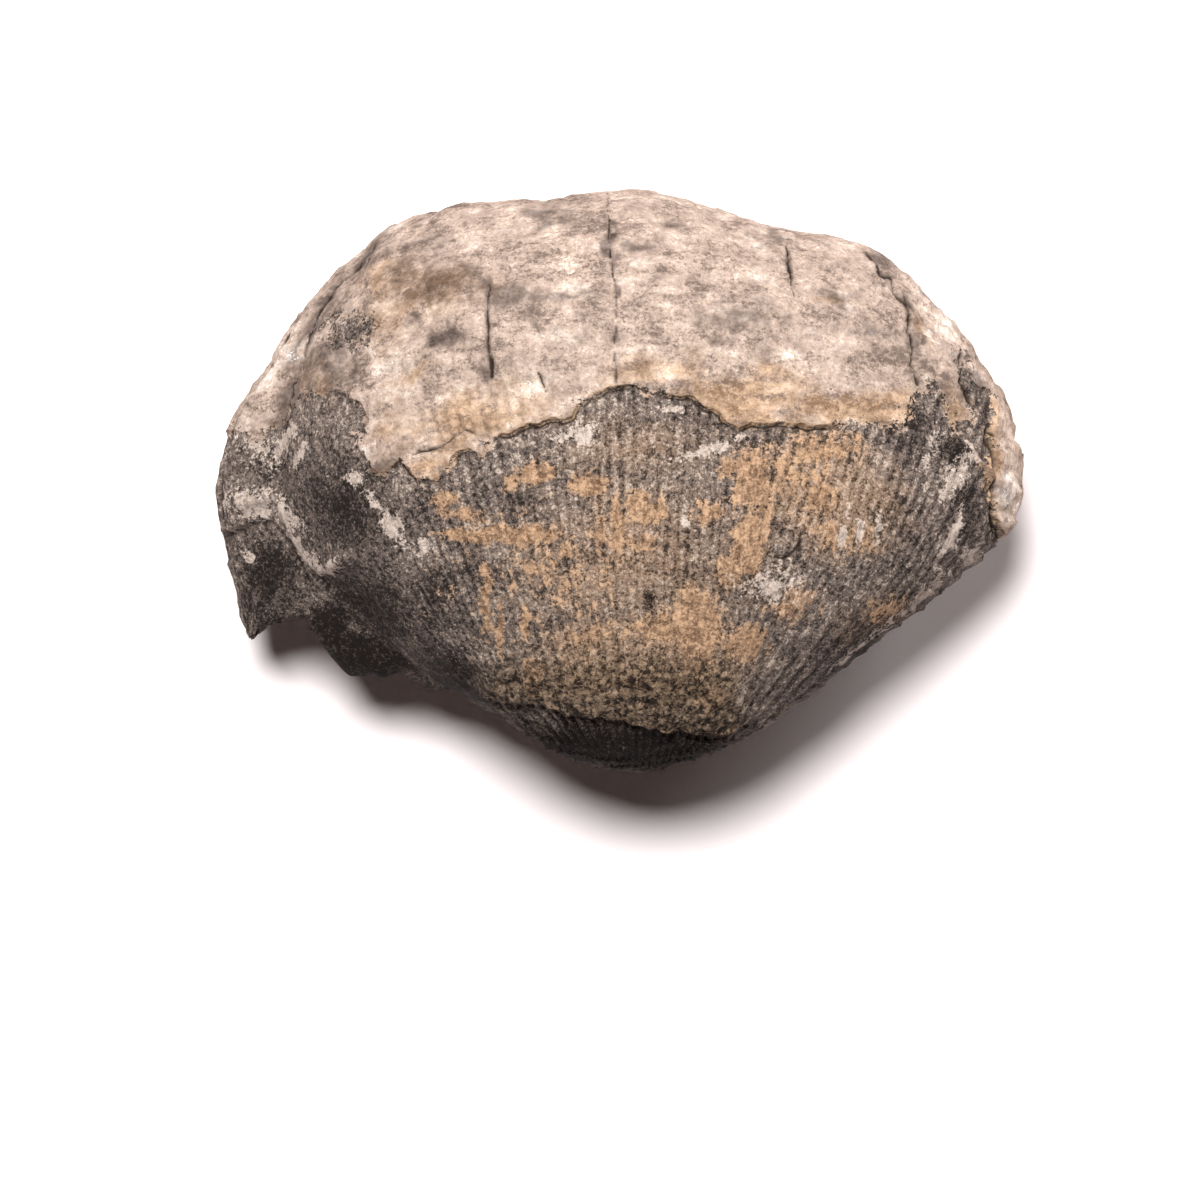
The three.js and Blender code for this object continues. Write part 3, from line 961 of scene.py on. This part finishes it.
class Sketch:
    """Lays out shader nodes with short calls.

    Args:
        tree: the node tree that the nodes go into.
    """

    def __init__(self, tree: bpy.types.NodeTree) -> None:
        """Keeps the tree."""
        self.tree = tree

    def node(self, kind: str, fed: Fed, **settings: object) -> bpy.types.Node:
        """A new node.

        Args:
            kind: the node's type.
            fed: what goes into its inputs, by name or number.
            settings: its other settings.

        Returns:
            The node.
        """
        made = self.tree.nodes.new(kind)
        for name, value in settings.items():
            setattr(made, name, value)
        for name, value in fed.items():
            if isinstance(value, Shade):
                self.tree.links.new(value.socket, made.inputs[name])
            else:
                made.inputs[name].default_value = value
        return made

    def shade(self, kind: str, fed: Fed, out: str | int = 0, **settings: object) -> Shade:
        """What comes out of a new node, by the output's name or number."""
        return Shade(self, self.node(kind, fed, **settings).outputs[out])

    def read(self, name: Field) -> Shade:
        """What the mesh carries at each vertex."""
        return self.shade("ShaderNodeAttribute", {}, "Fac", attribute_name=name.value)

    def sum(self, operation: str, *values: Value) -> Shade:
        """One step of arithmetic."""
        return self.shade("ShaderNodeMath", dict(enumerate(values)), operation=operation)

    def blend(self, share: Value, first: Tint, second: Tint, kind: str = "MIX") -> Shade:
        """A mix of two colours.

        Args:
            share: how much of the second is in it, from 0 to 1.
            first: the colour it starts from.
            second: the colour mixed in.
            kind: the way they are mixed.

        Returns:
            The mix.
        """
        fed = {"Factor": share}
        for slot, colour in ((6, first), (7, second)):
            fed[slot] = colour if isinstance(colour, Shade) else (*colour, 1.0)
        return self.shade("ShaderNodeMix", fed, 2, data_type="RGBA", blend_type=kind)

    def darken(self, share: Value, colour: Shade, tint: Colour) -> Shade:
        """A colour with a part of its light taken away."""
        return self.blend(share, colour, tint, "MULTIPLY")

    def noise(self, vector: Shade, scale: Value, detail: float, rough: float) -> Shade:
        """Cloudy noise from 0 to 1."""
        fed = {"Vector": vector, "Scale": scale, "Detail": detail, "Roughness": rough}
        return self.shade("ShaderNodeTexNoise", fed, "Fac")

    def stretched(self, vector: Shade, scale: Place) -> Shade:
        """Places scaled along each axis, so that noise read there is drawn out."""
        return self.shade("ShaderNodeMapping", {"Vector": vector, "Scale": scale})


@dataclass(frozen=True)
class Mottle:
    """The noises that the stone's colours are mixed from.

    Args:
        sketch: what lays out the nodes.
        at: places in millimetres.
        fine: the finest mineral grains.
        salt: fine and coarse mineral grains.
        streaks: streaks along the ribs.
        woven: short bands across the ribs.
        patchy: small blotches.
        cloud: wide blotches.
        rag: what frays the outlines of patches, about 0.
    """

    sketch: Sketch
    at: Shade
    fine: Shade
    salt: Shade
    streaks: Shade
    woven: Shade
    patchy: Shade
    cloud: Shade
    rag: Shade


@dataclass(frozen=True)
class FossilFinish:
    """The colours of the stone, as light they give back from 0 to 1."""

    stone_dark: Colour = (0.02, 0.015, 0.013)
    stone_mid: Colour = (0.13, 0.1, 0.085)
    stone_light: Colour = (0.42, 0.34, 0.28)
    # the tint that darkens the dark patches, which are partly painted shade
    dark_and_shade_tint: Colour = (0.5, 0.48, 0.48)
    warm_dark: Colour = (0.034, 0.023, 0.016)
    warm_mid: Colour = (0.235, 0.155, 0.105)
    layer_dark: Colour = (0.13, 0.094, 0.076)
    layer_base: Colour = (0.44, 0.335, 0.272)
    layer_light: Colour = (0.66, 0.56, 0.485)
    layer_tan: Colour = (0.17, 0.097, 0.055)
    tan_light: Colour = (0.55, 0.37, 0.235)
    layer_grey: Colour = (0.34, 0.33, 0.34)
    glint: Colour = (0.82, 0.77, 0.71)
    earth: Colour = (0.14, 0.078, 0.045)
    earth_light: Colour = (0.46, 0.29, 0.175)
    chip: Colour = (0.26, 0.205, 0.17)
    chip_light: Colour = (0.52, 0.43, 0.37)
    crust: Colour = (0.016, 0.011, 0.008)
    crust_light: Colour = (0.22, 0.15, 0.094)
    # the tint of the painted shade in the crust's pits
    pit_shade: Colour = (0.3, 0.27, 0.26)
    # the dark inside of cracks, and also the painted shadow under the pale layer's ledge
    crack: Colour = (0.02, 0.012, 0.008)
    rim: Colour = (0.56, 0.36, 0.21)
    # the tint of the painted shade in the furrows between the ribs
    furrow: Colour = (0.42, 0.39, 0.37)
    roughness: float = 0.9
    specular: float = 0.1
    bump: float = 0.6
    bump_depth: float = 0.09  # in millimetres

    def speckle(self) -> bpy.types.NodeTree:
        """A group of mineral grains: a mask of dark and light specks, at a given scale."""
        group = bpy.data.node_groups.new("mineral_specks", "ShaderNodeTree")
        for name, kind in (("Vector", "NodeSocketVector"), ("Scale", "NodeSocketFloat")):
            group.interface.new_socket(name, in_out="INPUT", socket_type=kind)
        group.interface.new_socket("Specks", in_out="OUTPUT", socket_type="NodeSocketFloat")
        sketch = Sketch(group)
        entry = sketch.node("NodeGroupInput", {})
        fed = {name: Shade(sketch, entry.outputs[name]) for name in ("Vector", "Scale")}
        cells = sketch.shade("ShaderNodeTexVoronoi", fed, "Color", feature="F1")
        tone = sketch.shade("ShaderNodeSeparateColor", {0: cells})
        cloud = sketch.noise(fed["Vector"], fed["Scale"], 3.0, 0.7)
        sketch.node("NodeGroupOutput", {0: cloud + (tone * 0.5 - 0.25)})
        return group

    def mottle(self, sketch: Sketch) -> Mottle:
        """Lays out the noises, in millimetres and along the ribs."""
        here = sketch.shade("ShaderNodeTexCoord", {}, "Object")
        at = sketch.shade("ShaderNodeVectorMath", {0: here, "Scale": 1.0 / MM}, operation="SCALE")
        along = sketch.read(Field.GROWTH) * 0.6
        ribwise = sketch.shade("ShaderNodeCombineXYZ", {0: sketch.read(Field.RIB), 1: along})
        group = self.speckle()
        coarse, fine = (
            sketch.shade("ShaderNodeGroup", {"Vector": at, "Scale": scale}, node_tree=group)
            for scale in (7.5, 15.0)
        )
        salt = fine * 0.45 + coarse * 0.55
        streaks = sketch.noise(ribwise, 1.7, 4.0, 0.65)
        woven = sketch.noise(sketch.stretched(ribwise, (0.25, 4.5, 1.0)), 1.0, 5.0, 0.65)
        patchy = sketch.noise(at, 1.9, 5.0, 0.7)
        cloud = sketch.noise(at, 0.8, 6.0, 0.68)
        rag = patchy * 2.6 - 1.3 + (salt - 0.5)
        return Mottle(sketch, at, fine, salt, streaks, woven, patchy, cloud, rag)

    def stone(self, mottle: Mottle) -> Shade:
        """The bare stone: dark and light grains, drawn out along the ribs, darkened in patches that
        are partly painted shade.
        """
        sketch = mottle.sketch
        # how dark each place is painted: partly dark stone, partly painted shade over the umbo and
        # under the margin
        darkness_and_shade = sketch.sum("MINIMUM", sketch.sum("MAXIMUM", sketch.read(Field.DARKNESS_AND_SHADE), 0.0), 1.3)
        warm = (sketch.read(Field.WARM) + (mottle.woven - 0.5)).rise(0.1, 0.9)
        tone = mottle.salt + mottle.streaks * 0.5 + mottle.woven * 0.35 + mottle.cloud * 0.5
        # painted light: rib crests a little lighter
        tone += sketch.read(Field.CREST) * 0.13 - darkness_and_shade * 0.24 - 0.22
        dark = sketch.blend(warm, self.stone_dark, self.warm_dark)
        mid = sketch.blend(warm, self.stone_mid, self.warm_mid)
        body = sketch.blend(tone.rise(0.72, 1.08), dark, mid)
        body = sketch.blend(tone.rise(1.05, 1.38), body, self.stone_light)
        body = sketch.darken(darkness_and_shade.rise(0.2, 1.3), body, self.dark_and_shade_tint)
        sparkle = mottle.fine.rise(0.76, 0.9) * 0.6 * darkness_and_shade.rise(1.25, 0.7)
        return sketch.blend(sparkle, body, self.stone_light)

    def soiled(self, mottle: Mottle) -> Shade:
        """The bare stone with earth, chips and crust on it, and painted shade in the crust's pits and
        in the furrows between the ribs.
        """
        sketch = mottle.sketch
        body = self.stone(mottle)
        grit = mottle.salt + mottle.streaks * 0.6
        ribbed = mottle.streaks * 1.4 + mottle.rag * 0.8 - 0.7
        earth = (sketch.read(Field.EARTH) + ribbed).rise(0.03, 0.45)
        caked = (mottle.patchy - 0.5) * 1.1 + grit
        soil = sketch.blend(caked.rise(0.5, 1.15), self.earth, self.earth_light)
        body = sketch.blend(earth * 0.88, body, soil)
        chip = (sketch.read(Field.CHIP_AND_HIGHLIGHT) + mottle.rag * 0.95).rise(0.12, 0.5)
        scale = sketch.blend(grit.rise(0.5, 1.05), self.chip, self.chip_light)
        body = sketch.blend(chip * 0.9, body, scale)
        cover = sketch.read(Field.CRUST)
        crumbs = sketch.noise(mottle.at, 3.6, 4.0, 0.65)
        knobs = crumbs * 2.0 + mottle.salt * 1.3 + mottle.patchy * 0.9
        grime = sketch.blend(knobs.rise(1.8, 2.55), self.crust, self.crust_light)
        body = sketch.blend(cover * 0.75, body, grime)
        # painted shade: dark pits between the crust's lumps
        body = sketch.darken(cover * crumbs.rise(0.52, 0.34), body, self.pit_shade)
        # painted shade: the furrows between the ribs darkened
        furrow = (sketch.read(Field.CREST) + mottle.streaks).rise(0.85, 0.45)
        return sketch.darken(furrow * 0.36, body, self.furrow)

    def sheets(self, mottle: Mottle) -> tuple[Shade, Shade]:
        """Thin sheets that flake off the pale layer: their level, and a tone for each."""
        sketch = mottle.sketch
        swell = sketch.noise(sketch.stretched(mottle.at, (0.6, 1.3, 1.0)), 0.6, 5.0, 0.62)
        level = sketch.sum("FLOOR", swell * 11.0)
        own = sketch.shade("ShaderNodeTexWhiteNoise", {"W": level}, "Value", noise_dimensions="1D")
        return level, own

    def shell(self, mottle: Mottle, sheet: Shade) -> Shade:
        """The pale layer: bedded, mottled, stained grey and tan.

        Args:
            mottle: the noises.
            sheet: the tone of the thin sheet that lies at each place.

        Returns:
            The layer's colour.
        """
        sketch = mottle.sketch
        depth = sketch.read(Field.LAYER)
        ledge = sketch.read(Field.LEDGE)
        bedded = sketch.noise(sketch.stretched(mottle.at, (0.35, 1.5, 1.0)), 1.0, 6.0, 0.7)
        # paler places on the layer, partly painted highlights
        pale_and_highlight = (sketch.read(Field.CHIP_AND_HIGHLIGHT) + mottle.rag * 0.4).rise(-0.1, 0.8)
        tone = mottle.salt * 0.75 - 0.33 + bedded * 1.2 + mottle.cloud * 1.25
        tone += (sheet - 0.5) * 0.22 + (mottle.woven - 0.5) * 0.5 + pale_and_highlight * 0.28
        shell = sketch.blend(tone.rise(0.88, 1.46), self.layer_dark, self.layer_base)
        shell = sketch.blend(tone.rise(1.38, 1.68), shell, self.layer_light)
        uneven = bedded * 2.4 + mottle.rag * 0.8 - 1.2
        tan = sketch.read(Field.TAN) + uneven + depth.rise(2.4, 0.2) * ledge * 0.6
        ochre = sketch.blend(tone.rise(1.0, 1.66), self.layer_tan, self.tan_light)
        shell = sketch.blend(tan.rise(-0.1, 1.3) * 0.9, shell, ochre)
        stain = sketch.read(Field.STAIN) + uneven * 1.2 + (sheet - 0.5) * 0.5
        shell = sketch.darken(stain.rise(0.0, 1.05), shell, self.layer_grey)
        shell = sketch.blend(depth.rise(0.16, 0.05) * ledge * 0.45, shell, self.rim)
        return sketch.blend(tone.rise(1.72, 1.84) * 0.8, shell, self.glint)

    def material(self) -> bpy.types.Material:
        """The whole finish as one material."""
        material = bpy.data.materials.new("fossil_stone")
        material.use_nodes = True
        material.node_tree.nodes.clear()
        sketch = Sketch(material.node_tree)
        mottle = self.mottle(sketch)
        depth = sketch.read(Field.LAYER)
        ledge = sketch.read(Field.LEDGE)
        level, sheet = self.sheets(mottle)
        loose = mottle.rag * sketch.sum("SUBTRACT", 1.15, ledge) * 0.8
        fray = mottle.rag * 0.04 + depth + loose
        shell = self.shell(mottle, sheet)
        colour = sketch.blend(fray.rise(-0.02, 0.04), self.soiled(mottle), shell)
        # painted shadow: a dark line at the foot of the pale layer's ledge, under its edge
        lip = depth.rise(-0.13, -0.06) * depth.rise(-0.01, -0.04) * ledge.rise(0.45, 0.95)
        lip *= mottle.patchy.rise(0.34, 0.5)
        colour = sketch.blend(lip * 0.9, colour, self.crack)
        split = sketch.read(Field.CRACK).rise(0.04, -0.02)
        colour = sketch.blend(split * 0.9, colour, self.crack)
        height = mottle.streaks * 0.5 + mottle.salt + level * depth.rise(0.0, 0.1) * 0.3
        bump = sketch.shade("ShaderNodeBump", {
            "Strength": self.bump, "Distance": self.bump_depth * MM, "Height": height,
        })
        shader = sketch.shade("ShaderNodeBsdfPrincipled", {
            "Base Color": colour, "Normal": bump, "Roughness": self.roughness,
            "Specular IOR Level": self.specular,
        })
        sketch.node("ShaderNodeOutputMaterial", {"Surface": shader})
        return material


@dataclass
class Studio:
    """A pale floor, two soft lights and the camera straight above."""

    floor_half: float = 2.0
    floor_colour: Colour = (0.96, 0.885, 0.88)
    floor_roughness: float = 0.9
    light_from: Place = (-0.05, 0.158, 0.478)
    light_size: float = 0.18
    light_watts: float = 5.0
    fill_from: Place = (0.27, 0.3, 0.13)
    fill_size: float = 0.2
    fill_watts: float = 1.0
    sky: float = 0.05
    sky_colour: Colour = (1.0, 0.8, 0.77)
    view_width: float = 46.39
    sensor: float = 36.0

    def floor(self) -> None:
        """The surface that the stone lies on."""
        form = bmesh.new()
        bmesh.ops.create_grid(form, x_segments=1, y_segments=1, size=self.floor_half)
        mesh = bpy.data.meshes.new("floor")
        form.to_mesh(mesh)
        form.free()
        material = bpy.data.materials.new("floor_paper")
        material.use_nodes = True
        shader = material.node_tree.nodes["Principled BSDF"]
        shader.inputs["Base Color"].default_value = (*self.floor_colour, 1.0)
        shader.inputs["Roughness"].default_value = self.floor_roughness
        mesh.materials.append(material)
        floor = placed("floor", mesh)

    def lamp(self, name: str, place: Place, size: float, watts: float) -> None:
        """A round soft light aimed at the stone.

        Args:
            name: what to call it.
            place: where it hangs.
            size: its diameter.
            watts: its power.
        """
        data = bpy.data.lights.new(name, "AREA")
        data.shape = "DISK"
        data.size = size
        data.energy = watts
        lamp = placed(name, data)
        lamp.location = place
        lamp.rotation_euler = (-Vector(place)).to_track_quat("-Z", "Y").to_euler()

    def lights(self) -> None:
        """A soft light overhead, a weak one low behind at the right, and a dim even sky."""
        self.lamp("softbox", self.light_from, self.light_size, self.light_watts)
        self.lamp("fill", self.fill_from, self.fill_size, self.fill_watts)
        world = bpy.data.worlds.new("studio")
        world.use_nodes = True
        sky = world.node_tree.nodes["Background"]
        sky.inputs["Color"].default_value = (*self.sky_colour, 1.0)
        sky.inputs["Strength"].default_value = self.sky
        bpy.context.scene.world = world

    def camera(self) -> None:
        """The camera at the eye, looking straight down with +Y at the top of the view."""
        data = bpy.data.cameras.new("eye")
        data.sensor_width = self.sensor
        data.lens = self.sensor * EYE[2] / self.view_width
        camera = placed("eye", data)
        camera.location = Vector(EYE) * MM
        bpy.context.scene.camera = camera
        bpy.context.scene.view_settings.view_transform = "Standard"

    def build(self) -> None:
        """Sets up the studio."""
        self.floor()
        self.lights()
        self.camera()


def main() -> None:
    """Builds the studio and the stone."""
    Studio().build()
    stone = Fossil().build()
    stone.data.materials.append(FossilFinish().material())
    log.info("%s: %d faces", stone.name, len(stone.data.polygons))


if __name__ == "__main__":
    main()
